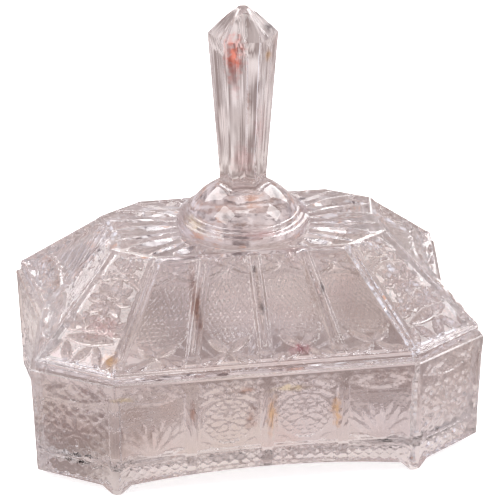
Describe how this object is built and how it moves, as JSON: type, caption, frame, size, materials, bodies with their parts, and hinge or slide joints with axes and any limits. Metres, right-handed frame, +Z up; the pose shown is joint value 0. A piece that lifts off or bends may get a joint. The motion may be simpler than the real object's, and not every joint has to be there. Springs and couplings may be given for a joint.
{
  "type": "butter dish",
  "caption": "Covered butter dish of pressed cut glass: panelled dish with folded ends, hipped lid that lifts off, round boss and tall six-sided handle.",
  "frame": {"origin": "on the table, under the middle of the dish", "axes": "+X along the long side of the dish, +Z up along the handle and the line of lift, -Y towards the front"},
  "size_m": [0.182, 0.125, 0.178],
  "materials": {
    "dish_glass": "fire polished, cut pattern",
    "lid_glass": "fire polished, cut and stippled pattern",
    "handle_glass": "polished facets"
  },
  "bodies": {
    "dish_body": {"base_dish": "dish_glass"},
    "lid_body": {"lid": "lid_glass", "handle": "handle_glass"}
  },
  "joints": [
    {"name": "lid_lift", "type": "slide", "parent": "dish_body", "child": "lid_body", "axis": [0, 0, 1], "range_m": [0, 0.08]}
  ]
}
